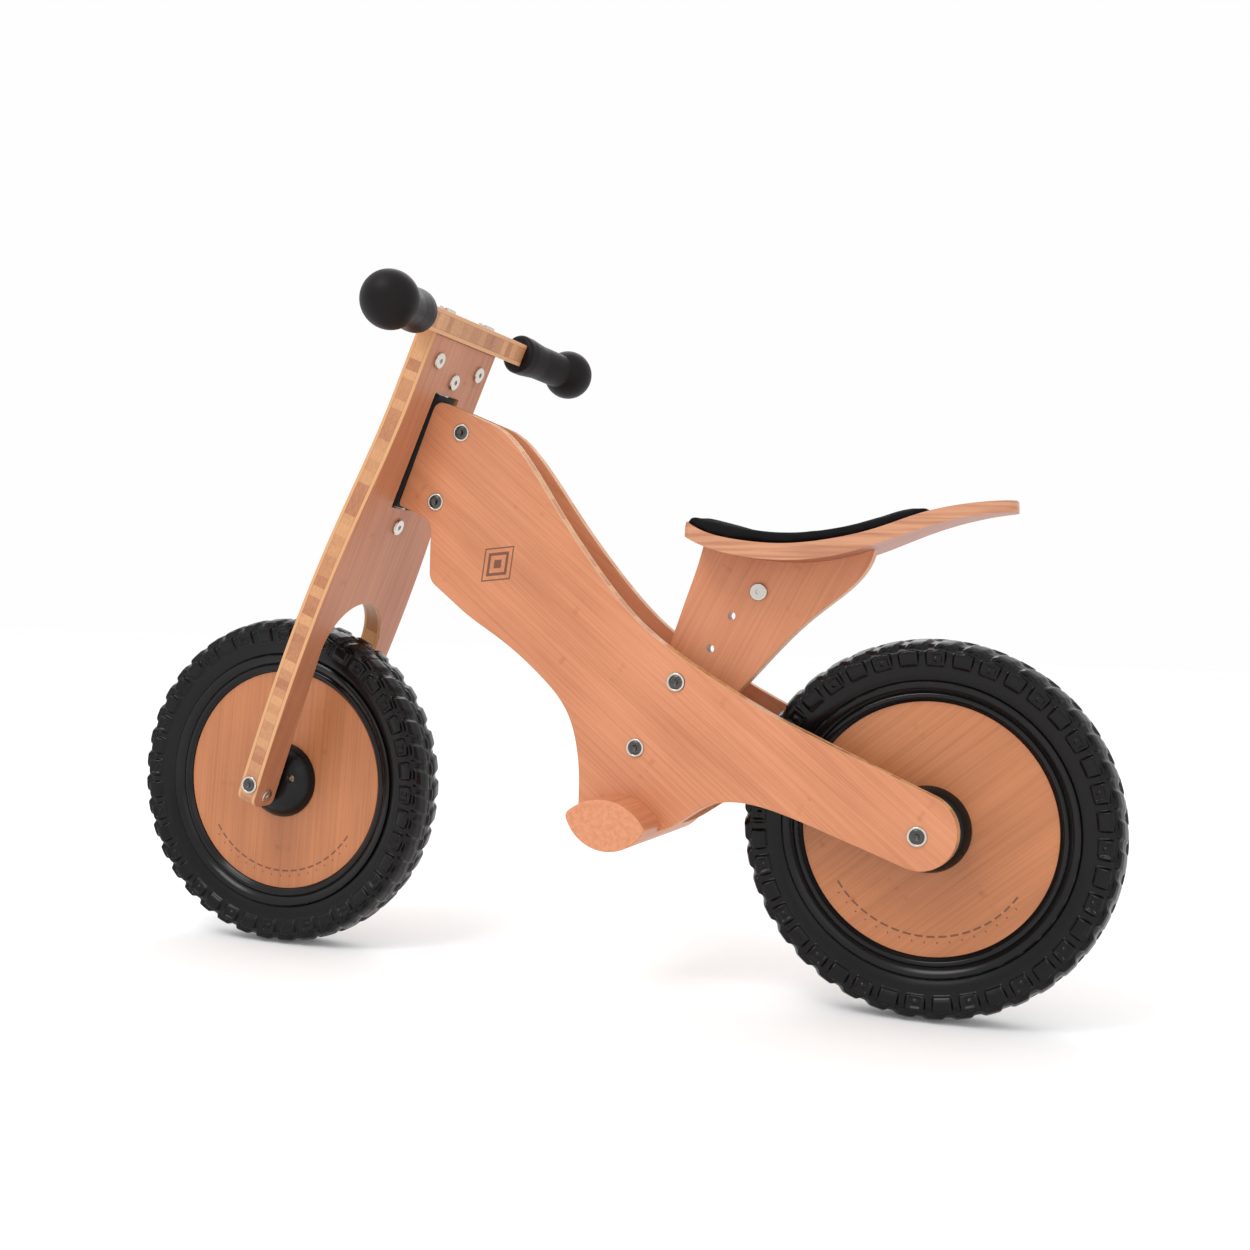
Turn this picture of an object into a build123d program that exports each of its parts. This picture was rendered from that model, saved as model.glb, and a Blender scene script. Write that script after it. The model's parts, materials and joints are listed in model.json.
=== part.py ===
"""Toddler's balance bike in bamboo plywood, built as separate pieces.

Frame: X forwards, Y to the rider's left, Z up.  The origin is on the ground, midway
between the two wheel hubs and in the bike's middle plane.  Lengths are millimetres.
"""

import os
from math import atan, cos, radians, sin, sqrt, tan

from build123d import *

# ------------------------------------------------------------------ wheels and stance
WHEEL_BASE = 563.0
TYRE_R = 142.0
TYRE_SEAT_R = 105.0
TYRE_HALF_WIDTH = 23.5
RIM_LIP_R = 110.0
RIM_LIP_Y = 17.5
DISC_R = 95.0
DISC_FACE_Y = 9.5
DISC_THICKNESS = 5.0
DISC_GAP = 0.4
WEB_HALF = 1.5
RIB_COUNT = 8
RIB_WIDTH = 3.0
HUB_BARREL_R = 14.5
HUB_FLANGE_R = 24.0
BEARING_R = 11.0
BEARING_WIDTH = 7.0
BEARING_FACE_Y = 19.0
CAP_R = 32.5
CAP_TOP_Y = 27.0
CAP_HOLE_R = 8.0
CAP_SCREW_COUNT = 3
CAP_SCREW_CIRCLE_R = 18.0
CAP_SCREW_ANGLE = 170.0
CAP_SCREW_SEAT_Y = 22.0
CAP_SCREW_R = 1.6
CAP_SCREW_HEAD_R = 3.0
AXLE_R = 4.0
AXLE_SPACER_R = 6.9
SPACER_GAP = 0.4
AXLE_BORE = 22.0
AXLE_BOLT_REACH = 18.0

# ------------------------------------------------------------------ fork and steering
STEER_TILT = 22.14
FORK_THICKNESS = 18.0
FORK_TOP_A = 411.0
FORK_NECK_HALF = 55.0
FORK_SHOULDER_HALF = 70.0
FORK_TIP_HALF = 58.5
FORK_BOTTOM_A = -18.0
LEG_WIDTH_AT_AXLE = 30.0
LEG_BOLT_B = 43.0
LEG_BOLT_A = -8.0
LEG_BOLT_HEAD_R = 6.0
LEG_BOLT_HEAD_H = 1.7
LEG_BOLT_LENGTH = 14.0
ARCH_R = 43.5
ARCH_CENTRE_A = 129.0
WINDOW_HALF = 21.0
WINDOW_LOW_A = 261.0
WINDOW_HIGH_A = 365.0
PIVOT_R = 5.0
PIVOT_HEAD_R = 7.2
PIVOT_HEAD_H = 6.0
PIVOT_DOWEL_R = 6.5
PIVOT_DOWEL_DROP = 13.0
LOWER_DOWEL_DROP = 16.0
WASHER_THICKNESS = 1.2
PIVOT_WASHER_R = 9.0
BLOCK_R = 16.0
BLOCK_WALL = 22.5
BLOCK_POCKET_R = 8.0
BLOCK_TONGUE_N = 55.0
AXIAL_GAP = 0.3

# ------------------------------------------------------------------ handlebar and grips
BAR_HEIGHT = 20.0
BAR_HALF_DEPTH = 12.0
BAR_GRIP_HALF_DEPTH = 9.0
BAR_BEND_B = 65.4
BAR_BEND_R = 70.0
GRIP_SWEEP = 15.4
GRIP_START_T = 28.0
GRIP_COLLAR_R = 17.5
GRIP_R = 15.5
GRIP_BALL_R = 22.3
GRIP_BALL_T = 105.4
BAR_END_T = 96.0
BAR_BOLT_B = 36.0
BAR_DOWEL_A = 391.0

# ------------------------------------------------------------------ frame plates
PLATE_THICKNESS = 11.0
PLATE_OUTER_Y = 55.5
HEAD_HALF_GAP = 2.4
PLATE_REAR_R = 28.0
TONGUE_LOW_A = 264.4
TONGUE_HIGH_A = 359.4
TONGUE_FRONT_N = 9.0
NECK_N = 45.1
HEAD_BOLT_N = 43.3
HEAD_BOLT_A = 311.7
HEAD_BOLT_HALF_SPACING = 31.0

# ------------------------------------------------------------------ seat and footrest
HOLE_PITCH = 31.2
HOLE_LINE_LEAN = 32.3
POST_BOLT_X = 224.9
POST_BOLT_Z = 49.2
POST_THICKNESS = 12.0
POST_SPACER_R = 9.0
PAD_REAR_X = 4.0
PAD_FRONT_X = 186.0
PAD_INSET = 1.0
SEAT_DOWEL_X = 136.4
SEAT_DOWEL_Z = 173.9
SEAT_SCREW_X = 84.0
SEAT_BOLT_SEAT_Z = 208.2
SEAT_BOLT_LENGTH = 41.0
SEAT_SCREW_R = 2.5
SEAT_SCREW_LENGTH = 36.0
FOOTREST_HALF = 73.0
FOOT_SCREW_X = 236.0
FOOT_SCREW_Z = -27.0
FOOT_SCREW_R = 2.5
FOOT_SCREW_HEAD_H = 4.0
FOOT_SCREW_LENGTH = 61.0

# ------------------------------------------------------------------ fasteners and fits
BOLT_R = 3.0
BOLT_HEAD_R = 7.0
BOLT_HEAD_H = 2.4
NUT_HEAD_H = 2.7
SOCKET_R = 2.4
SOCKET_DEPTH = 1.6
DOWEL_R = 5.0
NUT_LENGTH = 16.0
SEAT_SINK = 1.0
HOLE_CLEARANCE = 0.15
POST_HOLE_CLEARANCE = 0.3
THREAD_CLEARANCE = 0.05
RUNNING_CLEARANCE = 0.05
FIT_GAP = 0.4
EDGE_ROUND = 0.8

# ------------------------------------------------------------------ places worked out
HUB_Z = TYRE_R
REAR_X = -WHEEL_BASE / 2
FRONT_X = WHEEL_BASE / 2
TILT = radians(STEER_TILT)
HEAD_X = WHEEL_BASE - TONGUE_FRONT_N * cos(TILT) - HEAD_BOLT_A * sin(TILT)
SPLAY = atan((PLATE_OUTER_Y - PLATE_THICKNESS - HEAD_HALF_GAP) / HEAD_X)
PLATE_INNER_Y = PLATE_OUTER_Y - PLATE_THICKNESS / cos(SPLAY)
UP_AXIS = Vector(-sin(TILT), 0, cos(TILT))
REARWARD = Vector(-cos(TILT), 0, -sin(TILT))
FRONT_HUB = Vector(FRONT_X, 0, HUB_Z)
REAR_HUB = Vector(REAR_X, 0, HUB_Z)
FORK_HALF = FORK_THICKNESS / 2
LEG_OUTER = FORK_TIP_HALF + 1.0
LEG_INNER = LEG_OUTER - LEG_WIDTH_AT_AXLE
BAR_MID_A = FORK_TOP_A + BAR_HEIGHT / 2
BAR_TOP_A = FORK_TOP_A + BAR_HEIGHT
UPPER_DOWEL_A = WINDOW_HIGH_A + PIVOT_DOWEL_DROP
LOWER_DOWEL_A = WINDOW_LOW_A - LOWER_DOWEL_DROP

REAR_AXLE_END_Y = PLATE_INNER_Y + PLATE_THICKNESS / 2
FRONT_AXLE_END_Y = LEG_INNER + 8
BLOCK_LOW_A = WINDOW_LOW_A + WASHER_THICKNESS + AXIAL_GAP
BLOCK_HIGH_A = WINDOW_HIGH_A - WASHER_THICKNESS - AXIAL_GAP

MIDDLE = Plane(origin=REAR_HUB, x_dir=(1, 0, 0), z_dir=(0, -1, 0))
FORK_SIDE = Plane(origin=FRONT_HUB, x_dir=REARWARD, z_dir=(0, 1, 0))
PLATE_PLANE = Plane(
    origin=REAR_HUB + Vector(0, PLATE_OUTER_Y, 0),
    x_dir=(cos(SPLAY), -sin(SPLAY), 0),
    z_dir=(-sin(SPLAY), -cos(SPLAY), 0),
)


def fork_point(b: float, a: float, n: float) -> Vector:
    """Point b to the left, a up the steering axis and n behind it, from the front hub."""
    return FRONT_HUB + Vector(0, b, 0) + UP_AXIS * a + REARWARD * n


def fork_plane(n: float) -> Plane:
    """Plane across the steering axis line of travel: local x is b, y is a, z is forwards."""
    return Plane(origin=fork_point(0, 0, n), x_dir=(0, 1, 0), z_dir=REARWARD * -1)


def deck_plane(a: float, b: float = 0.0) -> Plane:
    """Plane square to the steering axis at height a and b to the left: local y is n."""
    return Plane(origin=fork_point(b, a, 0), x_dir=(0, 1, 0), z_dir=UP_AXIS)


def fork_rear(b: float, a: float) -> Plane:
    """Plane on the fork board's rear face at (b, a), facing back."""
    return Plane(origin=fork_point(b, a, FORK_HALF), x_dir=(0, 1, 0), z_dir=REARWARD)


def side_point(n: float, a: float) -> tuple:
    """The fork's (n, a) as a point of a frame plate's own plane."""
    x = WHEEL_BASE - n * cos(TILT) - a * sin(TILT)
    return (x / cos(SPLAY), a * cos(TILT) - n * sin(TILT))


def across(x: float, y: float, z: float) -> Plane:
    """Plane at (x, y, z) from the rear hub whose normal points out along Y, away from y = 0."""
    outwards = 1 if y >= 0 else -1
    return Plane(origin=REAR_HUB + Vector(x, y, z), x_dir=(1, 0, 0), z_dir=(0, outwards, 0))


def over_seat(x: float, lift: float = 0.0) -> Plane:
    """Level plane where a seat fastener's head rests, x ahead of the rear hub."""
    return Plane(origin=REAR_HUB + Vector(x, 0, SEAT_BOLT_SEAT_Z + lift))


def plate_face_y(x: float) -> float:
    """Distance of a plate's outer face from the middle plane, x ahead of the rear hub."""
    return PLATE_OUTER_Y - x * tan(SPLAY)


def rod(start: Plane, length: float, radius: float, bore: float = 0.0) -> Part:
    """Round bar or tube that runs from a plane along its normal."""
    with BuildPart() as made:
        with BuildSketch(start):
            Circle(radius)
            if bore:
                Circle(bore, mode=Mode.SUBTRACT)
        extrude(amount=length)
    return made.part


def head(seat: Plane, radius: float = BOLT_HEAD_R, height: float = BOLT_HEAD_H) -> Part:
    """Flat furniture-bolt head with a rounded rim and a hexagon socket, on its seat."""
    with BuildPart() as made:
        with BuildSketch(seat):
            Circle(radius)
        extrude(amount=height)
        top = made.faces().filter_by(GeomType.PLANE).sort_by(Axis(seat.origin, seat.z_dir))[-1]
        fillet(top.edges(), 0.4 * height)
        with BuildSketch(seat.offset(height)):
            RegularPolygon(SOCKET_R, 6)
        extrude(amount=-SOCKET_DEPTH, mode=Mode.SUBTRACT)
    return made.part


def bolt(
    seat: Plane,
    length: float,
    radius: float = BOLT_R,
    head_r: float = BOLT_HEAD_R,
    head_h: float = BOLT_HEAD_H,
) -> Part:
    """Bolt with its head on the seat plane and its shank running in behind it."""
    with BuildPart() as made:
        add(head(seat, head_r, head_h))
        with BuildSketch(seat):
            Circle(radius)
        extrude(amount=-length)
    return made.part


def tie_bolt(seat: Plane) -> Part:
    """Sleeve bolt across the bike with a head at each side, mirrored in the middle plane."""
    with BuildPart() as made:
        add(bolt(seat, abs(seat.origin.Y)))
        mirror(made.part, about=Plane.XZ)
    return made.part


def barrel_nut(
    seat: Plane, length: float, radius: float, bolt_r: float, bolt_way: Vector, depth: float
) -> Part:
    """Headed barrel nut sunk behind a seat plane, tapped across at a depth for its bolt."""
    with BuildPart() as made:
        add(head(seat, height=NUT_HEAD_H))
        with BuildSketch(seat):
            Circle(radius)
        extrude(amount=-length)
        with BuildSketch(Plane(origin=seat.offset(-depth).origin, z_dir=bolt_way)):
            Circle(bolt_r + THREAD_CLEARANCE)
        extrude(amount=2 * radius, both=True, mode=Mode.SUBTRACT)
    return made.part


def joined(pieces: list) -> Part:
    """Several like pieces as the one part that a node holds."""
    with BuildPart() as made:
        for piece in pieces:
            add(piece)
    return made.part


def finish(piece: Part, name: str) -> None:
    """Label a finished piece and write it under its node's name."""
    piece.label = name
    export_step(piece, f"parts/{name}.step")


os.makedirs("parts", exist_ok=True)

# ------------------------------------------------------------------ scratch solids
# The wedge of space between the two splayed plates, from the rear hub to the steering head.
wedge_start = -2 * AXLE_SPACER_R
wedge_end = min(HEAD_X + 20, 0.999 * PLATE_INNER_Y / tan(SPLAY))
with BuildPart() as wedge:
    with BuildSketch(Plane(origin=(REAR_X, 0, 0))):
        with BuildLine():
            Polyline(
                (wedge_start, PLATE_INNER_Y - wedge_start * tan(SPLAY)),
                (wedge_end, PLATE_INNER_Y - wedge_end * tan(SPLAY)),
                (wedge_end, 0),
            )
            Line((wedge_start, 0), (wedge_start, PLATE_INNER_Y - wedge_start * tan(SPLAY)))
            mirror(about=Plane.XZ)
        make_face()
    extrude(amount=2 * HUB_Z + FORK_TOP_A)

# Lens section of the footrest, flatter above than below, with soft front and rear noses.
with BuildSketch(MIDDLE) as footrest_section:
    with BuildLine():
        front_nose, rear_nose = (267, -1), (201, -9.5)
        ThreePointArc(front_nose, (236, 11.5), rear_nose)
        ThreePointArc(rear_nose, (231, -28), front_nose)
    make_face()
    fillet(footrest_section.vertices().sort_by(Axis.X)[-1], 5.0)
    fillet(footrest_section.vertices().sort_by(Axis.X)[0], 2.5)

# ------------------------------------------------------------------ frame plates
foot_screw_y = plate_face_y(FOOT_SCREW_X) - PLATE_THICKNESS / 2
footrest_feet = [
    Plane(
        origin=REAR_HUB + Vector(FOOT_SCREW_X, side * foot_screw_y, FOOT_SCREW_Z),
        x_dir=(1, 0, 0),
        z_dir=(0, 0, -1),
    )
    for side in (-1, 1)
]

head_bolts_at = []
for step in (-1, 1):
    u, z = side_point(HEAD_BOLT_N, HEAD_BOLT_A + step * HEAD_BOLT_HALF_SPACING)
    head_bolts_at.append((u * cos(SPLAY), z))
lean = radians(HOLE_LINE_LEAN)
hole_line = [
    (POST_BOLT_X - i * HOLE_PITCH * sin(lean), POST_BOLT_Z + i * HOLE_PITCH * cos(lean))
    for i in range(5)
]
post_bolts_at = [hole_line[0], hole_line[2]]

with BuildPart() as left_plate:
    with BuildSketch(PLATE_PLANE):
        with BuildLine():
            # Round end about the rear axle, then the long top edge up to the head.
            low_tangent, high_tangent = (8.5, -23.5), (-10.9, 29.0)
            ThreePointArc(low_tangent, (-0.5 - PLATE_REAR_R, 3.0), high_tangent)
            top_start = side_point(67, TONGUE_HIGH_A)
            forwards = (cos(TILT), sin(TILT))
            Spline(
                high_tangent, (51, 54.5), (112, 80), (173, 112), (225, 146), (264, 186),
                (306, 240), (338, 283.5), top_start,
                tangents=((1, 0.4), forwards),
            )
            # Squared tongue that reaches into the steering head, and the notch under it.
            neck_x, notch_z = side_point(NECK_N, TONGUE_LOW_A)
            FilletPolyline(
                top_start,
                side_point(TONGUE_FRONT_N, TONGUE_HIGH_A),
                side_point(TONGUE_FRONT_N, TONGUE_LOW_A),
                (neck_x, notch_z),
                (neck_x, 178),
                (392, 154.5),
                radius=(8.0, 3.0, 12.0, 14.0),
            )
            # Lower edge down to the footrest lobe, then back along the rear arm.
            Spline(
                (392, 154.5), (352, 130), (313, 101.5), (287, 72), (277, 38), (275.3, 4),
                tangents=((-31.5, -23.5), (0, -1)),
            )
            FilletPolyline((275.3, 4), (275.3, -17), (222, -17), radius=8.0)
            Spline(
                (222, -17), (195, -11), (178, 0), (158, 10.5), (138, 13), (110, 9), (60, -6.5),
                low_tangent, tangents=((-1, 0), (-0.947, -0.322)),
            )
        make_face()
    extrude(amount=PLATE_THICKNESS)
    fillet(left_plate.faces().sort_by(SortBy.AREA)[-2:].edges(), EDGE_ROUND)
    # Open notch that the footrest fills.
    extrude(footrest_section.sketch, amount=FOOTREST_HALF, both=True, mode=Mode.SUBTRACT)
    for x, z in head_bolts_at + post_bolts_at + [(0, 0)]:
        seat_y = plate_face_y(x) - SEAT_SINK
        with BuildSketch(across(x, seat_y, z)):
            Circle(BOLT_HEAD_R + FIT_GAP)
        extrude(amount=BOLT_HEAD_R, mode=Mode.SUBTRACT)
        with BuildSketch(across(x, seat_y, z)):
            Circle(BOLT_R + HOLE_CLEARANCE)
        extrude(amount=-2 * PLATE_THICKNESS, mode=Mode.SUBTRACT)
    with BuildSketch(across(0, REAR_AXLE_END_Y + HOLE_CLEARANCE, 0)):
        Circle(AXLE_R + HOLE_CLEARANCE)
    extrude(amount=-PLATE_THICKNESS, mode=Mode.SUBTRACT)
    with Locations(footrest_feet):
        Hole(FOOT_SCREW_R + THREAD_CLEARANCE, depth=FOOT_SCREW_LENGTH + 1)

with BuildPart() as right_plate:
    mirror(left_plate.part, about=Plane.XZ)
finish(left_plate.part, "left_frame_plate")
finish(right_plate.part, "right_frame_plate")

# ------------------------------------------------------------------ footrest bar
with BuildPart() as footrest:
    extrude(footrest_section.sketch, amount=FOOTREST_HALF, both=True)
    fillet(footrest.faces().filter_by(Axis.Y).edges(), EDGE_ROUND)
    with Locations(footrest_feet):
        CounterBoreHole(
            FOOT_SCREW_R + HOLE_CLEARANCE,
            2 * FOOT_SCREW_R + HOLE_CLEARANCE,
            FOOT_SCREW_HEAD_H,
            FOOT_SCREW_LENGTH,
        )
        with Locations((0, 0, 3)):
            Cylinder(2 * FOOT_SCREW_R + HOLE_CLEARANCE, 6, mode=Mode.SUBTRACT)
with BuildPart() as footrest_screws:
    for foot in footrest_feet:
        add(rod(foot.offset(-FOOT_SCREW_HEAD_H), FOOT_SCREW_HEAD_H, 2 * FOOT_SCREW_R))
        add(rod(foot.offset(-FOOT_SCREW_LENGTH), FOOT_SCREW_LENGTH - FOOT_SCREW_HEAD_H, FOOT_SCREW_R))
finish(footrest.part, "footrest_bar")
finish(footrest_screws.part, "footrest_screws")

# ------------------------------------------------------------------ seat board, pad and post
with BuildSketch(MIDDLE) as seat_profile:
    with BuildLine():
        tail_low, tail_high = (-58, 236.0), (-57.5, 244.6)
        nose_low, nose_high = (189.5, 216.0), (185.0, 226.0)
        Spline(
            tail_high, (-19, 240.6), (9, 234.0), (40, 222.4), (73, 213.6), (105, 209.6), (139, 211.5),
            (172, 219.2), nose_high,
        )
        Line(nose_high, nose_low)
        Spline(
            nose_low, (172, 207.8), (139, 199.5), (105, 197.0), (72, 200.7), (40, 210.4), (6, 223.2),
            (-26, 232.0), tail_low,
        )
        Line(tail_low, tail_high)
    make_face()


def seat_plan(inset: float) -> Sketch:
    """Seat outline seen from above, drawn in by an inset: broad in front, narrow behind."""
    with BuildSketch(Plane(origin=REAR_HUB)) as plan:
        with BuildLine():
            nose_x, corner = 188 - inset, (181 - inset, 45.5 - inset)
            Line((nose_x, 0), (nose_x, 36 - inset))
            ThreePointArc((nose_x, 36 - inset), (nose_x - 1.6, 41.6 - inset), corner)
            Spline(
                corner, (165, 50.4 - inset), (139, 52 - inset), (105, 50 - inset), (72, 43 - inset),
                (40, 35 - inset), (14, 29.5 - inset), (-25, 23 - inset), (-48, 15.5 - inset),
            )
            ThreePointArc((-48, 15.5 - inset), (-56.2, 9.4 - inset), (-59, 0))
            mirror(about=Plane.XZ)
        make_face()
    return plan.sketch


with BuildPart() as seat_board:
    extrude(seat_profile.sketch, amount=2 * FOOTREST_HALF, both=True)
    extrude(seat_plan(0), amount=WHEEL_BASE, mode=Mode.INTERSECT)
    with Locations(over_seat(SEAT_DOWEL_X, BOLT_HEAD_R)):
        CounterBoreHole(BOLT_R + HOLE_CLEARANCE, BOLT_HEAD_R + FIT_GAP, BOLT_HEAD_R)
    with Locations(over_seat(SEAT_SCREW_X, BOLT_HEAD_R)):
        CounterBoreHole(SEAT_SCREW_R + HOLE_CLEARANCE, 2 * SEAT_SCREW_R + HOLE_CLEARANCE, BOLT_HEAD_R)
with BuildPart() as seat_pad:
    with BuildSketch(MIDDLE):
        with BuildLine():
            rear_foot, front_foot = (PAD_REAR_X, 231), (PAD_FRONT_X, 221)
            pad_tail, pad_nose = (PAD_REAR_X + 1, 239.5), (PAD_FRONT_X - 5, 231.3)
            Line(rear_foot, (PAD_REAR_X - 1, 237.6))
            Line((PAD_REAR_X - 1, 237.6), pad_tail)
            Spline(pad_tail, (24, 235.8), (45, 228.7), (73, 220.7), (105, 217.1), (132, 219),
                   (156, 224.6), pad_nose)
            Line(pad_nose, (PAD_FRONT_X + 1, 228.3))
            Line((PAD_FRONT_X + 1, 228.3), front_foot)
            Spline(front_foot, (139, 205), (105, 203), (73, 207), (40, 216), rear_foot)
        make_face()
        add(seat_profile.sketch_local, mode=Mode.SUBTRACT)
    extrude(amount=2 * FOOTREST_HALF, both=True)
    extrude(seat_plan(PAD_INSET), amount=WHEEL_BASE, mode=Mode.INTERSECT)
with BuildPart() as seat_post:
    with BuildSketch(MIDDLE):
        with BuildLine():
            Spline((182, 214), (188.5, 190), (197, 165), (209.5, 127), (220.5, 92))
            FilletPolyline((220.5, 92), (239, 33), (206, 36), (149, 97), radius=(9, 12))
            Spline((149, 97), (130, 118), (110, 139.5), (89, 158.5), (66, 177), (52, 193), (46, 214))
            Spline((46, 214), (105, 203), (150, 206), (182, 214))
        make_face()
    extrude(amount=POST_THICKNESS / 2, both=True)
    fillet(seat_post.faces().sort_by(SortBy.AREA)[-2:].edges(), EDGE_ROUND)
    with Locations([across(x, POST_THICKNESS / 2, z) for x, z in hole_line]):
        Hole(BOLT_R + POST_HOLE_CLEARANCE)
    with Locations(across(SEAT_DOWEL_X, POST_THICKNESS / 2, SEAT_DOWEL_Z)):
        Hole(DOWEL_R + HOLE_CLEARANCE)
    with Locations(over_seat(SEAT_DOWEL_X)):
        Hole(BOLT_R + HOLE_CLEARANCE, depth=SEAT_BOLT_LENGTH + 1)
    with Locations(over_seat(SEAT_SCREW_X)):
        Hole(SEAT_SCREW_R + THREAD_CLEARANCE, depth=SEAT_SCREW_LENGTH + 1)
    add(seat_board.part, mode=Mode.SUBTRACT)
seat_bolt = bolt(over_seat(SEAT_DOWEL_X), SEAT_BOLT_LENGTH)
seat_screw = bolt(over_seat(SEAT_SCREW_X), SEAT_SCREW_LENGTH, SEAT_SCREW_R, 2 * SEAT_SCREW_R)
seat_dowel = barrel_nut(
    across(SEAT_DOWEL_X, POST_THICKNESS / 2, SEAT_DOWEL_Z),
    POST_THICKNESS, DOWEL_R, BOLT_R, Vector(0, 0, 1), POST_THICKNESS / 2,
)
finish(seat_board.part, "seat_board")
finish(seat_pad.part, "seat_pad")
finish(seat_post.part, "seat_post")
finish(seat_bolt, "seat_bolt")
finish(seat_screw, "seat_screw")
finish(seat_dowel, "seat_dowel")

# ------------------------------------------------------------------ bolts across the frame
with BuildPart() as post_spacers:
    for x, z in post_bolts_at:
        reach = plate_face_y(x) - POST_THICKNESS / 2 - PLATE_THICKNESS / 2
        add(rod(across(x, POST_THICKNESS / 2, z), reach, POST_SPACER_R, BOLT_R + HOLE_CLEARANCE))
    mirror(post_spacers.part, about=Plane.XZ)
    add(wedge.part, mode=Mode.INTERSECT)
finish(post_spacers.part, "post_spacers")
for name, places in (("head_bolts", head_bolts_at), ("post_bolts", post_bolts_at)):
    ties = [tie_bolt(across(x, plate_face_y(x) - SEAT_SINK, z)) for x, z in places]
    finish(joined(ties), name)

# ------------------------------------------------------------------ steering head block
with BuildPart() as block_tongue:
    with BuildSketch(FORK_SIDE):
        with Locations((TONGUE_FRONT_N - 0.5, TONGUE_LOW_A + 1.5)):
            Rectangle(
                BLOCK_TONGUE_N - TONGUE_FRONT_N,
                TONGUE_HIGH_A - TONGUE_LOW_A - 3,
                align=(Align.MIN, Align.MIN),
            )
    extrude(amount=BLOCK_R, both=True)
    add(wedge.part, mode=Mode.INTERSECT)
with BuildPart() as head_block:
    with BuildSketch(deck_plane(BLOCK_LOW_A)):
        Circle(BLOCK_R)
        with Locations((0, TONGUE_FRONT_N)):
            Rectangle(2 * BLOCK_R, BLOCK_R, align=(Align.CENTER, Align.MIN), mode=Mode.SUBTRACT)
    extrude(amount=BLOCK_HIGH_A - BLOCK_LOW_A)
    add(block_tongue.part)
    with BuildSketch(deck_plane(BLOCK_LOW_A)):
        Circle(PIVOT_R + RUNNING_CLEARANCE)
    extrude(amount=BLOCK_HIGH_A - BLOCK_LOW_A, mode=Mode.SUBTRACT)
    with BuildSketch(deck_plane(BLOCK_LOW_A + BLOCK_WALL)):
        Circle(BLOCK_POCKET_R)
        Rectangle(2 * BLOCK_POCKET_R, 2 * BLOCK_R, align=(Align.CENTER, Align.MAX))
    extrude(amount=BLOCK_HIGH_A - BLOCK_LOW_A - 2 * BLOCK_WALL, mode=Mode.SUBTRACT)
    with BuildSketch(MIDDLE):
        with Locations(*head_bolts_at):
            Circle(BOLT_R + HOLE_CLEARANCE)
    extrude(amount=BLOCK_R, both=True, mode=Mode.SUBTRACT)
finish(head_block.part, "head_block")

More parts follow.
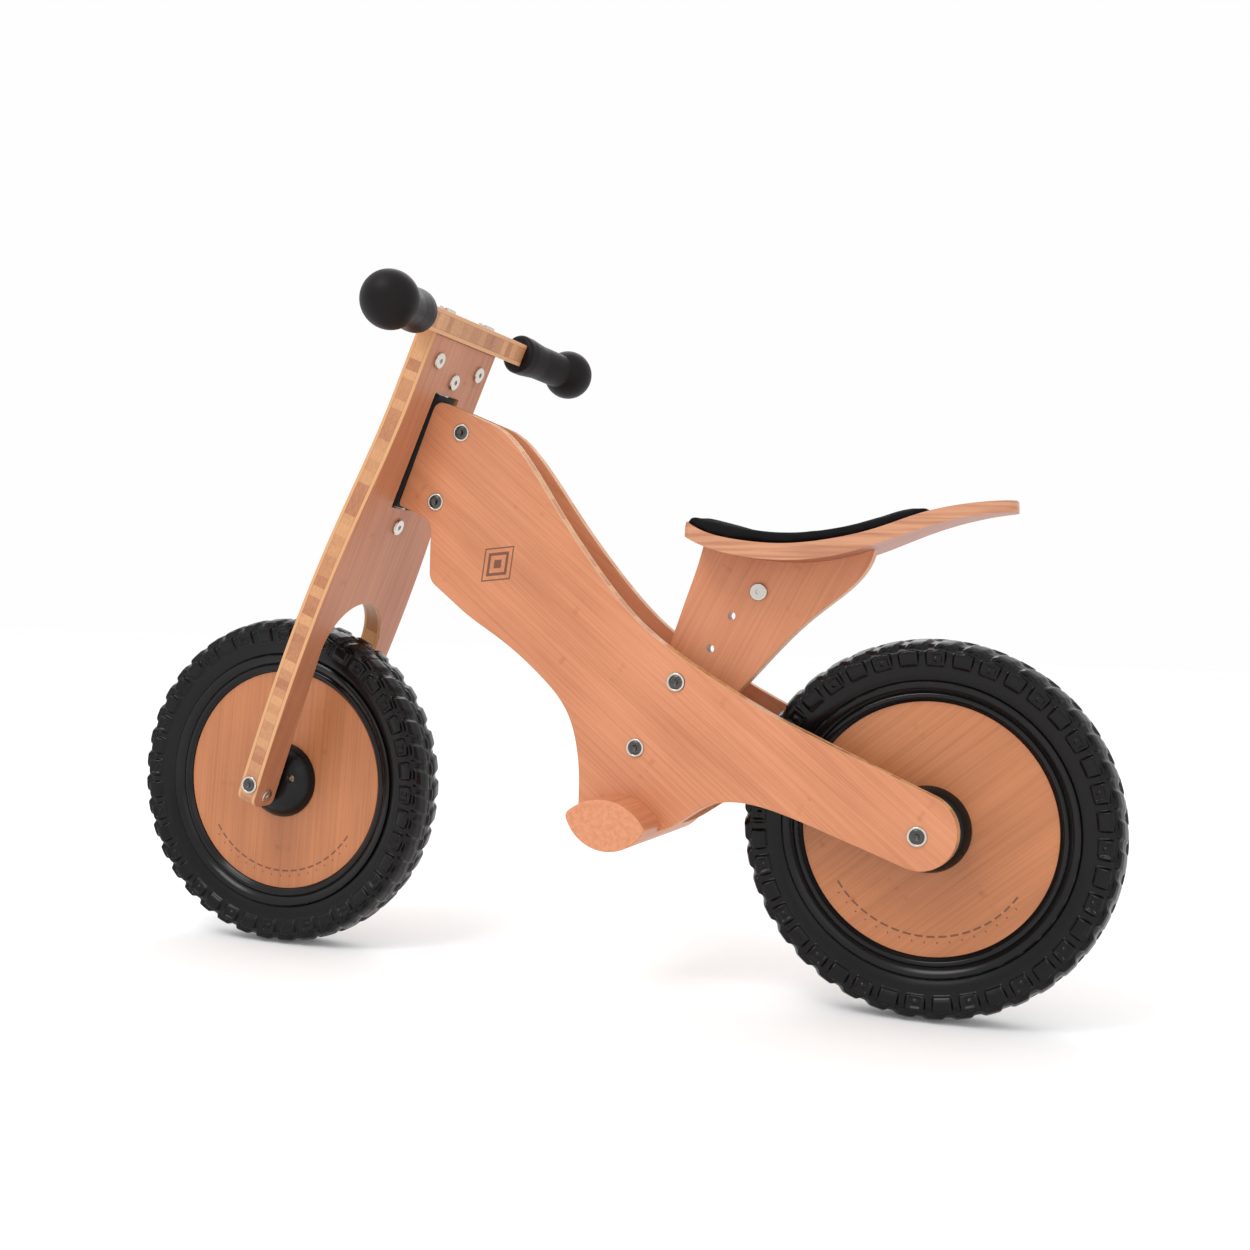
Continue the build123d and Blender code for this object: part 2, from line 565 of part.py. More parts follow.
# ------------------------------------------------------------------ fork board
with BuildPart() as fork_board:
    with BuildSketch(fork_plane(0)):
        with BuildLine():
            Polyline((0, FORK_TOP_A), (FORK_NECK_HALF, FORK_TOP_A), (FORK_NECK_HALF, 352))
            Spline(
                (FORK_NECK_HALF, 352), (56.5, 319), (60.5, 280), (66.5, 228), (FORK_SHOULDER_HALF, 160),
                (67.5, 82), (LEG_OUTER + 0.7, 6),
            )
            FilletPolyline(
                (LEG_OUTER + 0.7, 6),
                (LEG_OUTER - 2, FORK_BOTTOM_A),
                (LEG_INNER - 2, FORK_BOTTOM_A),
                (ARCH_R, ARCH_CENTRE_A),
                radius=(10, 6),
            )
            CenterArc((0, ARCH_CENTRE_A), ARCH_R, 0, 90)
            mirror(about=Plane.YZ)
        make_face()
    extrude(amount=FORK_HALF, both=True)
    fillet(fork_board.faces().sort_by(SortBy.AREA)[-2:].edges(), EDGE_ROUND)
    with BuildSketch(fork_plane(0)):
        with Locations((0, (WINDOW_LOW_A + WINDOW_HIGH_A) / 2)):
            RectangleRounded(2 * WINDOW_HALF, WINDOW_HIGH_A - WINDOW_LOW_A, 1.5)
    extrude(amount=FORK_HALF, both=True, mode=Mode.SUBTRACT)
    with Locations([fork_rear(0, UPPER_DOWEL_A), fork_rear(0, LOWER_DOWEL_A)]):
        Hole(PIVOT_DOWEL_R + HOLE_CLEARANCE, depth=NUT_LENGTH + FIT_GAP)
    with Locations([fork_rear(side * BAR_BOLT_B, BAR_DOWEL_A) for side in (-1, 1)]):
        Hole(DOWEL_R + HOLE_CLEARANCE, depth=NUT_LENGTH + FIT_GAP)
    with Locations([fork_rear(side * LEG_BOLT_B, LEG_BOLT_A) for side in (-1, 1)]):
        Hole(BOLT_R + HOLE_CLEARANCE, depth=LEG_BOLT_LENGTH + FIT_GAP)
    with BuildSketch(deck_plane(LOWER_DOWEL_A - PIVOT_DOWEL_R)):
        Circle(PIVOT_R + HOLE_CLEARANCE)
    extrude(amount=UPPER_DOWEL_A - LOWER_DOWEL_A + 2 * PIVOT_DOWEL_R, mode=Mode.SUBTRACT)
    with BuildSketch(deck_plane(FORK_TOP_A)):
        with Locations((-BAR_BOLT_B, 0), (BAR_BOLT_B, 0)):
            Circle(BOLT_R + HOLE_CLEARANCE)
    extrude(amount=BAR_DOWEL_A - 2 * DOWEL_R - FORK_TOP_A, mode=Mode.SUBTRACT)
    for side in (-1, 1):
        with BuildSketch(across(WHEEL_BASE, side * (LEG_OUTER - SEAT_SINK), 0)):
            Circle(BOLT_HEAD_R + FIT_GAP)
        extrude(amount=BOLT_HEAD_R, mode=Mode.SUBTRACT)
        with BuildSketch(across(WHEEL_BASE, side * LEG_OUTER, 0)):
            Circle(BOLT_R + HOLE_CLEARANCE)
        extrude(amount=-1.5 * LEG_WIDTH_AT_AXLE, mode=Mode.SUBTRACT)
        with BuildSketch(across(WHEEL_BASE, side * (FRONT_AXLE_END_Y + HOLE_CLEARANCE), 0)):
            Circle(AXLE_R + HOLE_CLEARANCE)
        extrude(amount=-LEG_WIDTH_AT_AXLE, mode=Mode.SUBTRACT)
finish(fork_board.part, "fork_board")

# ------------------------------------------------------------------ steering pivot
upper_pivot = Plane(
    origin=fork_point(0, BLOCK_HIGH_A - BLOCK_WALL - AXIAL_GAP, 0), x_dir=(0, 1, 0), z_dir=UP_AXIS * -1
)
lower_pivot = deck_plane(BLOCK_LOW_A + BLOCK_WALL + AXIAL_GAP)
pivot_length = UPPER_DOWEL_A + PIVOT_DOWEL_R - 1 - (BLOCK_HIGH_A - BLOCK_WALL - AXIAL_GAP)
lower_pivot_length = BLOCK_LOW_A + BLOCK_WALL + AXIAL_GAP - (LOWER_DOWEL_A - PIVOT_DOWEL_R + 1)
pivot_bolts = joined([
    bolt(upper_pivot, pivot_length, PIVOT_R, PIVOT_HEAD_R, PIVOT_HEAD_H),
    bolt(lower_pivot, lower_pivot_length, PIVOT_R, PIVOT_HEAD_R, PIVOT_HEAD_H),
])
pivot_dowels = joined([
    barrel_nut(fork_rear(0, a), NUT_LENGTH, PIVOT_DOWEL_R, PIVOT_R, UP_AXIS, FORK_HALF)
    for a in (UPPER_DOWEL_A, LOWER_DOWEL_A)
])
pivot_washers = joined([
    rod(deck_plane(a), WASHER_THICKNESS, PIVOT_WASHER_R, PIVOT_R + HOLE_CLEARANCE)
    for a in (WINDOW_LOW_A, WINDOW_HIGH_A - WASHER_THICKNESS)
])
leg_bolts = joined([
    bolt(fork_rear(side * LEG_BOLT_B, LEG_BOLT_A), LEG_BOLT_LENGTH, BOLT_R, LEG_BOLT_HEAD_R, LEG_BOLT_HEAD_H)
    for side in (-1, 1)
])
finish(pivot_bolts, "pivot_bolts")
finish(pivot_dowels, "pivot_dowels")
finish(pivot_washers, "pivot_washers")
finish(leg_bolts, "leg_bolts")

# ------------------------------------------------------------------ handlebar and grips
sweep = radians(GRIP_SWEEP)
corner_t = (BAR_HALF_DEPTH - BAR_GRIP_HALF_DEPTH * cos(sweep)) / sin(sweep)


def bar_point(t: float, w: float) -> tuple:
    """Point t along the swept axis from the bend and w behind it, on the deck plane."""
    return (BAR_BEND_B + t * cos(sweep) - w * sin(sweep), t * sin(sweep) + w * cos(sweep))


with BuildPart() as handlebar:
    with BuildSketch(deck_plane(FORK_TOP_A)):
        with BuildLine():
            FilletPolyline(
                (0, -BAR_HALF_DEPTH),
                bar_point(-corner_t, -BAR_GRIP_HALF_DEPTH),
                bar_point(BAR_END_T, -BAR_GRIP_HALF_DEPTH),
                bar_point(BAR_END_T, BAR_GRIP_HALF_DEPTH),
                bar_point(corner_t, BAR_GRIP_HALF_DEPTH),
                (0, BAR_HALF_DEPTH),
                radius=(BAR_BEND_R, 3, 3, BAR_BEND_R),
            )
            mirror(about=Plane.YZ)
        make_face()
    extrude(amount=BAR_HEIGHT)
    fillet(handlebar.faces().sort_by(Axis(FRONT_HUB, UP_AXIS))[-1].edges(), 2 * EDGE_ROUND)
    fillet(handlebar.faces().sort_by(Axis(FRONT_HUB, UP_AXIS))[0].edges(), EDGE_ROUND)
    with Locations([deck_plane(BAR_TOP_A, side * BAR_BOLT_B) for side in (-1, 1)]):
        Hole(BOLT_R + HOLE_CLEARANCE, depth=2 * BAR_HEIGHT)
bar_bolts = joined([
    bolt(deck_plane(BAR_TOP_A, side * BAR_BOLT_B), BAR_TOP_A - BAR_DOWEL_A + DOWEL_R + 2)
    for side in (-1, 1)
])
bar_dowels = joined([
    barrel_nut(fork_rear(side * BAR_BOLT_B, BAR_DOWEL_A), NUT_LENGTH, DOWEL_R, BOLT_R, UP_AXIS, FORK_HALF)
    for side in (-1, 1)
])
grip_way = Vector(0, cos(sweep), 0) + REARWARD * sin(sweep)
grip_plane = Plane(origin=fork_point(BAR_BEND_B, BAR_MID_A, 0), x_dir=grip_way, z_dir=UP_AXIS)
ball_joins_t = GRIP_BALL_T - sqrt(GRIP_BALL_R**2 - GRIP_R**2)
with BuildPart() as left_grip:
    with BuildSketch(grip_plane):
        with BuildLine():
            FilletPolyline(
                (GRIP_START_T, 0),
                (GRIP_START_T, GRIP_COLLAR_R),
                (GRIP_START_T + 12, GRIP_COLLAR_R),
                (GRIP_START_T + 30, GRIP_R),
                (ball_joins_t, GRIP_R),
                radius=(4, 12, 12),
            )
            ThreePointArc(
                (ball_joins_t, GRIP_R), (GRIP_BALL_T, GRIP_BALL_R), (GRIP_BALL_T + GRIP_BALL_R, 0)
            )
            Line((GRIP_BALL_T + GRIP_BALL_R, 0), (GRIP_START_T, 0))
        make_face()
    revolve(axis=Axis(grip_plane.origin, grip_way))
    add(handlebar.part, mode=Mode.SUBTRACT)
with BuildPart() as right_grip:
    mirror(left_grip.part, about=Plane.XZ)
finish(handlebar.part, "handlebar")
finish(bar_bolts, "bar_bolts")
finish(bar_dowels, "bar_dowels")
finish(left_grip.part, "left_grip")
finish(right_grip.part, "right_grip")


# ------------------------------------------------------------------ axles
def axle_rod(hub_x: float, end_y: float) -> Part:
    """Axle across the bike, bored at each end for its bolt."""
    with BuildPart() as made:
        with BuildSketch(across(hub_x, 0, 0)):
            Circle(AXLE_R)
        extrude(amount=end_y, both=True)
        with Locations(across(hub_x, end_y, 0), across(hub_x, -end_y, 0)):
            Hole(BOLT_R + THREAD_CLEARANCE, depth=AXLE_BORE)
    return made.part


def axle_spacers(hub_x: float, end_y: float) -> Part:
    """Pair of tubes that keep the wheel's bearings clear of the frame or fork."""
    with BuildPart() as made:
        start_y = BEARING_FACE_Y + SPACER_GAP
        add(rod(across(hub_x, start_y, 0), end_y - start_y, AXLE_SPACER_R, AXLE_R + HOLE_CLEARANCE))
        mirror(made.part, about=Plane.XZ)
    return made.part


with BuildPart() as rear_spacers:
    add(axle_spacers(0, PLATE_OUTER_Y))
    add(wedge.part, mode=Mode.INTERSECT)
with BuildPart() as front_spacers:
    add(axle_spacers(WHEEL_BASE, LEG_INNER + 3))
    add(fork_board.part, mode=Mode.SUBTRACT)
for name, hub_x, end_y, seat_y in (
    ("rear", 0, REAR_AXLE_END_Y, PLATE_OUTER_Y - SEAT_SINK),
    ("front", WHEEL_BASE, FRONT_AXLE_END_Y, LEG_OUTER - SEAT_SINK),
):
    ends = [bolt(across(hub_x, side * seat_y, 0), seat_y - end_y + AXLE_BOLT_REACH) for side in (-1, 1)]
    finish(axle_rod(hub_x, end_y), f"{name}_axle")
    finish(joined(ends), f"{name}_axle_bolts")
finish(rear_spacers.part, "rear_axle_spacers")
finish(front_spacers.part, "front_axle_spacers")


# ------------------------------------------------------------------ wheels
def turned_plane(hub: Vector) -> Plane:
    """Plane through a wheel's axis: local x runs along Y and local y is the radius."""
    return Plane(origin=hub, x_dir=(0, 1, 0), z_dir=(1, 0, 0))


def cap_screw_planes(hub_x: float, y: float) -> list:
    """Seats of one side's cap screws, on their circle about the hub."""
    step = radians(360 / CAP_SCREW_COUNT)
    turns = [radians(CAP_SCREW_ANGLE) + i * step for i in range(CAP_SCREW_COUNT)]
    r = CAP_SCREW_CIRCLE_R
    return [across(hub_x + r * cos(turn), y, r * sin(turn)) for turn in turns]


def cross_screw(seat: Plane) -> Part:
    """Small pan-head screw with a cross recess."""
    with BuildPart() as made:
        with BuildSketch(seat):
            Circle(CAP_SCREW_HEAD_R)
        extrude(amount=CAP_SCREW_R)
        with BuildSketch(seat):
            Circle(CAP_SCREW_R)
        extrude(amount=-(CAP_SCREW_SEAT_Y - WEB_HALF))
        with BuildSketch(seat.offset(CAP_SCREW_R)):
            Rectangle(1.4 * CAP_SCREW_HEAD_R, 0.25 * CAP_SCREW_HEAD_R)
            Rectangle(0.25 * CAP_SCREW_HEAD_R, 1.4 * CAP_SCREW_HEAD_R)
        extrude(amount=-0.6 * CAP_SCREW_R, mode=Mode.SUBTRACT)
    return made.part


for name, hub_x in (("rear", 0), ("front", WHEEL_BASE)):
    hub = REAR_HUB + Vector(hub_x, 0, 0)
    turning = Axis(hub, (0, 1, 0))
    with BuildPart() as tyre:
        with BuildSketch(turned_plane(hub)):
            with BuildLine():
                Polyline((0, TYRE_SEAT_R), (12.9, TYRE_SEAT_R), (15.2, RIM_LIP_R + 0.6))
                Spline(
                    (15.2, RIM_LIP_R + 0.6),
                    (18.6, RIM_LIP_R + 9),
                    (TYRE_HALF_WIDTH - 1.3, TYRE_R - 16),
                    (TYRE_HALF_WIDTH, TYRE_R - 11),
                    (TYRE_HALF_WIDTH - 2.5, TYRE_R - 5),
                )
                ThreePointArc(
                    (TYRE_HALF_WIDTH - 2.5, TYRE_R - 5), (13, TYRE_R - 1.85), (0, TYRE_R)
                )
                mirror(about=Plane.YZ)
            make_face()
        revolve(axis=turning)
    with BuildPart() as rim:
        with BuildSketch(turned_plane(hub)):
            with BuildLine():
                Polyline(
                    (0, BEARING_R - 2),
                    (BEARING_FACE_Y - BEARING_WIDTH, BEARING_R - 2),
                    (BEARING_FACE_Y - BEARING_WIDTH, BEARING_R),
                    (BEARING_FACE_Y, BEARING_R),
                    (BEARING_FACE_Y, HUB_BARREL_R),
                    (DISC_FACE_Y - DISC_THICKNESS, HUB_BARREL_R),
                    (DISC_FACE_Y - DISC_THICKNESS, HUB_FLANGE_R),
                    (WEB_HALF, HUB_FLANGE_R),
                    (WEB_HALF, DISC_R + DISC_GAP),
                    (DISC_FACE_Y + 1, DISC_R + DISC_GAP),
                    (12.4, 97.4),
                )
                ThreePointArc((12.4, 97.4), (13.7, 99.6), (12.7, 101.8))
                Spline((12.7, 101.8), (15.4, 104.4), (RIM_LIP_Y, RIM_LIP_R - 1.2))
                Polyline(
                    (RIM_LIP_Y, RIM_LIP_R - 1.2),
                    (RIM_LIP_Y - 0.9, RIM_LIP_R),
                    (RIM_LIP_Y - 1.9, RIM_LIP_R),
                    (13.2, TYRE_SEAT_R),
                    (0, TYRE_SEAT_R),
                )
                mirror(about=Plane.YZ)
            make_face()
        revolve(axis=turning)
        with BuildSketch(across(hub_x, 0, 0)):
            with PolarLocations((HUB_FLANGE_R + DISC_R) / 2, RIB_COUNT, start_angle=22.5):
                Rectangle(DISC_R - HUB_FLANGE_R + 2, RIB_WIDTH)
        extrude(amount=DISC_FACE_Y - DISC_THICKNESS, both=True)
        with Locations(cap_screw_planes(hub_x, DISC_FACE_Y)):
            Hole(CAP_SCREW_R + THREAD_CLEARANCE, depth=2 * DISC_FACE_Y)
    with BuildPart() as left_disc:
        with BuildSketch(across(hub_x, DISC_FACE_Y - DISC_THICKNESS, 0)):
            Circle(DISC_R)
            Circle(HUB_BARREL_R + FIT_GAP, mode=Mode.SUBTRACT)
        extrude(amount=DISC_THICKNESS)
        with Locations(cap_screw_planes(hub_x, DISC_FACE_Y)):
            Hole(CAP_SCREW_R + HOLE_CLEARANCE, depth=DISC_THICKNESS)
    with BuildPart() as left_cap:
        with BuildSketch(turned_plane(hub)):
            with BuildLine():
                Polyline(
                    (CAP_TOP_Y, 14),
                    (CAP_TOP_Y, CAP_HOLE_R),
                    (BEARING_FACE_Y + FIT_GAP, CAP_HOLE_R),
                    (BEARING_FACE_Y + FIT_GAP, HUB_BARREL_R + FIT_GAP),
                    (DISC_FACE_Y, HUB_BARREL_R + FIT_GAP),
                    (DISC_FACE_Y, CAP_R),
                    (DISC_FACE_Y + 1.5, CAP_R),
                )
                Spline((DISC_FACE_Y + 1.5, CAP_R), (18, 29.2), (24, 23), (CAP_TOP_Y, 14))
            make_face()
        revolve(axis=turning)
        with Locations(cap_screw_planes(hub_x, CAP_SCREW_SEAT_Y)):
            Hole(CAP_SCREW_R + HOLE_CLEARANCE)
            with Locations((0, 0, CAP_SCREW_HEAD_R)):
                Cylinder(CAP_SCREW_HEAD_R + FIT_GAP, 2 * CAP_SCREW_HEAD_R, mode=Mode.SUBTRACT)
    seats = cap_screw_planes(hub_x, CAP_SCREW_SEAT_Y) + cap_screw_planes(hub_x, -CAP_SCREW_SEAT_Y)
    inner_face = BEARING_FACE_Y - BEARING_WIDTH
    races = [
        rod(across(hub_x, side * inner_face, 0), BEARING_WIDTH, BEARING_R, AXLE_R + RUNNING_CLEARANCE)
        for side in (-1, 1)
    ]
    with BuildPart() as right_disc:
        mirror(left_disc.part, about=Plane.XZ)
    with BuildPart() as right_cap:
        mirror(left_cap.part, about=Plane.XZ)
    finish(tyre.part, f"{name}_tyre")
    finish(rim.part, f"{name}_rim")
    finish(left_disc.part, f"{name}_left_disc")
    finish(right_disc.part, f"{name}_right_disc")
    finish(left_cap.part, f"{name}_left_cap")
    finish(right_cap.part, f"{name}_right_cap")
    finish(joined([cross_screw(seat) for seat in seats]), f"{name}_cap_screws")
    finish(joined(races), f"{name}_bearings")
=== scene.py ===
"""Dresses the bamboo balance bike: treaded tyres, foam pad, bolt faces, wood and studio.

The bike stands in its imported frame: X forwards, Y to the rider's left, Z up, in metres.
"""

from __future__ import annotations

import json
import logging
import math
from dataclasses import dataclass
from enum import Enum

import bpy
import numpy as np
from mathutils import Matrix

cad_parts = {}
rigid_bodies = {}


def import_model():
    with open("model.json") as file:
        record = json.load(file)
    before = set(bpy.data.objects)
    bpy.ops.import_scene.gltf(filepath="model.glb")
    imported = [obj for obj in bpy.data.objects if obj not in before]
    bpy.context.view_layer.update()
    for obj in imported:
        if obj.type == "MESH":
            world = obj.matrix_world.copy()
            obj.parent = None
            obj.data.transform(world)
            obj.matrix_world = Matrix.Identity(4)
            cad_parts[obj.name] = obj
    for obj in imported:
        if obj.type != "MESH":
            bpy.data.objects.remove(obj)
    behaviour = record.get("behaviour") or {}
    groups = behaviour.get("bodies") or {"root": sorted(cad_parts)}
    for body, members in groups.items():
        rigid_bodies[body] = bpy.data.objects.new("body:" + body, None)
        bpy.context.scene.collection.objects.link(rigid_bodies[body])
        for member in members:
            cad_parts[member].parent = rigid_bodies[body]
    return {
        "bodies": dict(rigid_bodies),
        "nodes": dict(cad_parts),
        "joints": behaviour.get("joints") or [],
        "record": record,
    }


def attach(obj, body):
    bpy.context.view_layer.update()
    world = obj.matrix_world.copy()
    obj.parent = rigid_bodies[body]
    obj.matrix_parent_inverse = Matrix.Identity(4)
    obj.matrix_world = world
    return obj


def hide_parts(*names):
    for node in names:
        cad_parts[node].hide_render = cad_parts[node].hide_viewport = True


LOG = logging.getLogger("bike")

WHEEL_BASE = 0.563
AXLE_Z = 0.142
TILT = math.radians(22.14)
SPLAY = 0.0963
PLATE_OUTER_Y = 0.0555
PLATE_THICKNESS = 0.011
FORK_THICKNESS = 0.018
POST_THICKNESS = 0.012
LEG_SEAT_Y = 0.0585
BOLT_SINK = 0.001
BAR_FOOT = 0.411
BAR_HEIGHT = 0.020
EMBLEM_X = 0.0735
EMBLEM_Z = 0.334
DASH_R = 0.0800
DOT_R = 0.0845
DASHES = 9.0

Value = "Num | float"


class Grain(Enum):
    """Which way a board's fibres run, as the turn of the grain from +X about -Y."""

    FRAME = math.radians(38.0)
    FORK = math.radians(90.0) + TILT
    POST = math.radians(118.0)
    SEAT = math.radians(2.0)
    FRONT_DISC = math.radians(93.0)
    REAR_DISC = math.radians(140.0)


@dataclass(frozen=True)
class Palette:
    """Colours of one wood, linear RGB."""

    light: tuple[float, float, float]
    dark: tuple[float, float, float]
    edge: tuple[float, float, float]


BAMBOO = Palette((0.66, 0.270, 0.130), (0.42, 0.135, 0.055), (0.66, 0.36, 0.165))
# FORK is the bamboo darkened and greyed as painted shade for the fork's rear-facing face; the bar shares
# it.
FORK = Palette((0.54, 0.228, 0.118), (0.33, 0.112, 0.050), (0.62, 0.325, 0.145))
PALE = Palette((0.535, 0.200, 0.076), (0.330, 0.108, 0.037), (0.60, 0.31, 0.14))
SEAT = Palette((0.45, 0.158, 0.092), (0.30, 0.094, 0.047), (0.57, 0.27, 0.145))
BURNT = (0.085, 0.030, 0.014)


# ---------------------------------------------------------------- shader expressions
@dataclass(frozen=True)
class Num:
    """A number inside a shader that ordinary arithmetic builds on."""

    graph: "Graph"
    socket: bpy.types.NodeSocket

    def __add__(self, other: Value) -> "Num":
        return self.graph.math("ADD", self, other)

    def __radd__(self, other: Value) -> "Num":
        return self.graph.math("ADD", other, self)

    def __sub__(self, other: Value) -> "Num":
        return self.graph.math("SUBTRACT", self, other)

    def __rsub__(self, other: Value) -> "Num":
        return self.graph.math("SUBTRACT", other, self)

    def __mul__(self, other: Value) -> "Num":
        return self.graph.math("MULTIPLY", self, other)

    def __rmul__(self, other: Value) -> "Num":
        return self.graph.math("MULTIPLY", other, self)

    def __truediv__(self, other: Value) -> "Num":
        return self.graph.math("DIVIDE", self, other)

    def __rtruediv__(self, other: Value) -> "Num":
        return self.graph.math("DIVIDE", other, self)

    def __neg__(self) -> "Num":
        return self.graph.math("MULTIPLY", self, -1.0)

    def __abs__(self) -> "Num":
        return self.graph.math("ABSOLUTE", self)

    def floor(self) -> "Num":
        """The whole number below."""
        return self.graph.math("FLOOR", self)

    def wrap(self) -> "Num":
        """The fraction above the whole number below."""
        return self.graph.math("FRACT", self)

    def ramp(self, low: float, high: float) -> "Num":
        """Smooth 0 to 1 as the value goes from low to high.

        Args:
            low: value that gives 0.
            high: value that gives 1.
        Returns:
            The smoothed fraction.
        """
        node = self.graph.node("ShaderNodeMapRange")
        node.interpolation_type = "SMOOTHSTEP"
        self.graph.feed(node.inputs[0], self)
        node.inputs[1].default_value = low
        node.inputs[2].default_value = high
        return Num(self.graph, node.outputs[0])

    def band(self, centre: float, half: float, soft: float) -> "Num":
        """1 within half of centre, falling to 0 over soft beyond it."""
        return 1.0 - abs(self - centre).ramp(half, half + soft)


class Graph:
    """One material's node tree, with helpers that return numbers and colours."""

    def __init__(self, name: str) -> None:
        self.material = bpy.data.materials.new(name)
        self.material.use_nodes = True
        self.tree = self.material.node_tree
        self.tree.nodes.clear()
        self.where = self.node("ShaderNodeTexCoord")

    def node(self, kind: str) -> bpy.types.Node:
        """A new node of that kind."""
        return self.tree.nodes.new(kind)

    def feed(self, socket: bpy.types.NodeSocket, value) -> None:
        """Links a shader value to an input, or sets a constant on it."""
        if isinstance(value, Num):
            self.tree.links.new(value.socket, socket)
        elif isinstance(value, bpy.types.NodeSocket):
            self.tree.links.new(value, socket)
        elif isinstance(value, tuple) and len(value) == 3 and socket.type == "RGBA":
            socket.default_value = (*value, 1.0)
        else:
            socket.default_value = value

    def math(self, operation: str, *values: Value) -> Num:
        """One Math node over the values."""
        node = self.node("ShaderNodeMath")
        node.operation = operation
        for socket, value in zip(node.inputs, values):
            self.feed(socket, value)
        return Num(self, node.outputs[0])

    def split(self, socket: bpy.types.NodeSocket) -> tuple[Num, Num, Num]:
        """A vector's three parts."""
        node = self.node("ShaderNodeSeparateXYZ")
        self.feed(node.inputs[0], socket)
        return tuple(Num(self, out) for out in node.outputs)

    def place(self) -> tuple[Num, Num, Num]:
        """The point shaded, in the row frame."""
        return self.split(self.where.outputs["Object"])

    def facing(self) -> tuple[Num, Num, Num]:
        """The surface normal in the piece's own frame."""
        return self.split(self.where.outputs["Normal"])

    def vector(self, x: Value, y: Value, z: Value) -> bpy.types.NodeSocket:
        """A vector from three numbers."""
        node = self.node("ShaderNodeCombineXYZ")
        for socket, value in zip(node.inputs, (x, y, z)):
            self.feed(socket, value)
        return node.outputs[0]

    def noise(self, at: bpy.types.NodeSocket, scale: float, detail: float = 2.0) -> Num:
        """Fractal noise, from 0 to 1 about 0.5."""
        node = self.node("ShaderNodeTexNoise")
        self.feed(node.inputs["Vector"], at)
        node.inputs["Scale"].default_value = scale
        node.inputs["Detail"].default_value = detail
        return Num(self, node.outputs[0])

    def random(self, x: Value, y: Value) -> Num:
        """Random number that is constant over each whole-number cell."""
        node = self.node("ShaderNodeTexWhiteNoise")
        self.feed(node.inputs["Vector"], self.vector(x, y, 0.0))
        return Num(self, node.outputs["Value"])

    def mix(self, factor: Value, first, second) -> bpy.types.NodeSocket:
        """Colour between two colours."""
        node = self.node("ShaderNodeMix")
        node.data_type = "RGBA"
        self.feed(node.inputs["Factor"], factor)
        colours = [socket for socket in node.inputs if socket.type == "RGBA"]
        self.feed(colours[0], first)
        self.feed(colours[1], second)
        return next(socket for socket in node.outputs if socket.type == "RGBA")

    def build(
        self,
        colour,
        roughness: Value,
        metallic: float = 0.0,
        coat: float = 0.0,
        height: Num | None = None,
        depth: float = 0.0002,
        strength: float = 0.5,
        gleam: float = 0.5,
        glow: float = 0.0,
    ) -> bpy.types.Material:
        """Closes the graph with one Principled surface.

        Args:
            colour: base colour, constant or worked out.
            roughness: surface roughness.
            metallic: 1 for bare metal.
            coat: weight of the clear lacquer.
            height: relief from 0 to 1, or None for a smooth surface.
            depth: metres that one unit of height stands for.
            strength: how strongly the relief shows.
            gleam: specular level of the bare surface.
            glow: light given off, as a share of white.
        Returns:
            The finished material.
        """
        surface = self.node("ShaderNodeBsdfPrincipled")
        output = self.node("ShaderNodeOutputMaterial")
        self.feed(surface.inputs["Base Color"], colour)
        self.feed(surface.inputs["Roughness"], roughness)
        surface.inputs["Metallic"].default_value = metallic
        surface.inputs["Coat Weight"].default_value = coat
        surface.inputs["Coat Roughness"].default_value = 0.22
        surface.inputs["Specular IOR Level"].default_value = gleam
        surface.inputs["Emission Color"].default_value = (1.0, 1.0, 1.0, 1.0)
        surface.inputs["Emission Strength"].default_value = glow
        if height is not None:
            bump = self.node("ShaderNodeBump")
            bump.inputs["Strength"].default_value = strength
            bump.inputs["Distance"].default_value = depth
            self.feed(bump.inputs["Height"], height)
            self.tree.links.new(bump.outputs[0], surface.inputs["Normal"])
        self.tree.links.new(surface.outputs[0], output.inputs[0])
        return self.material


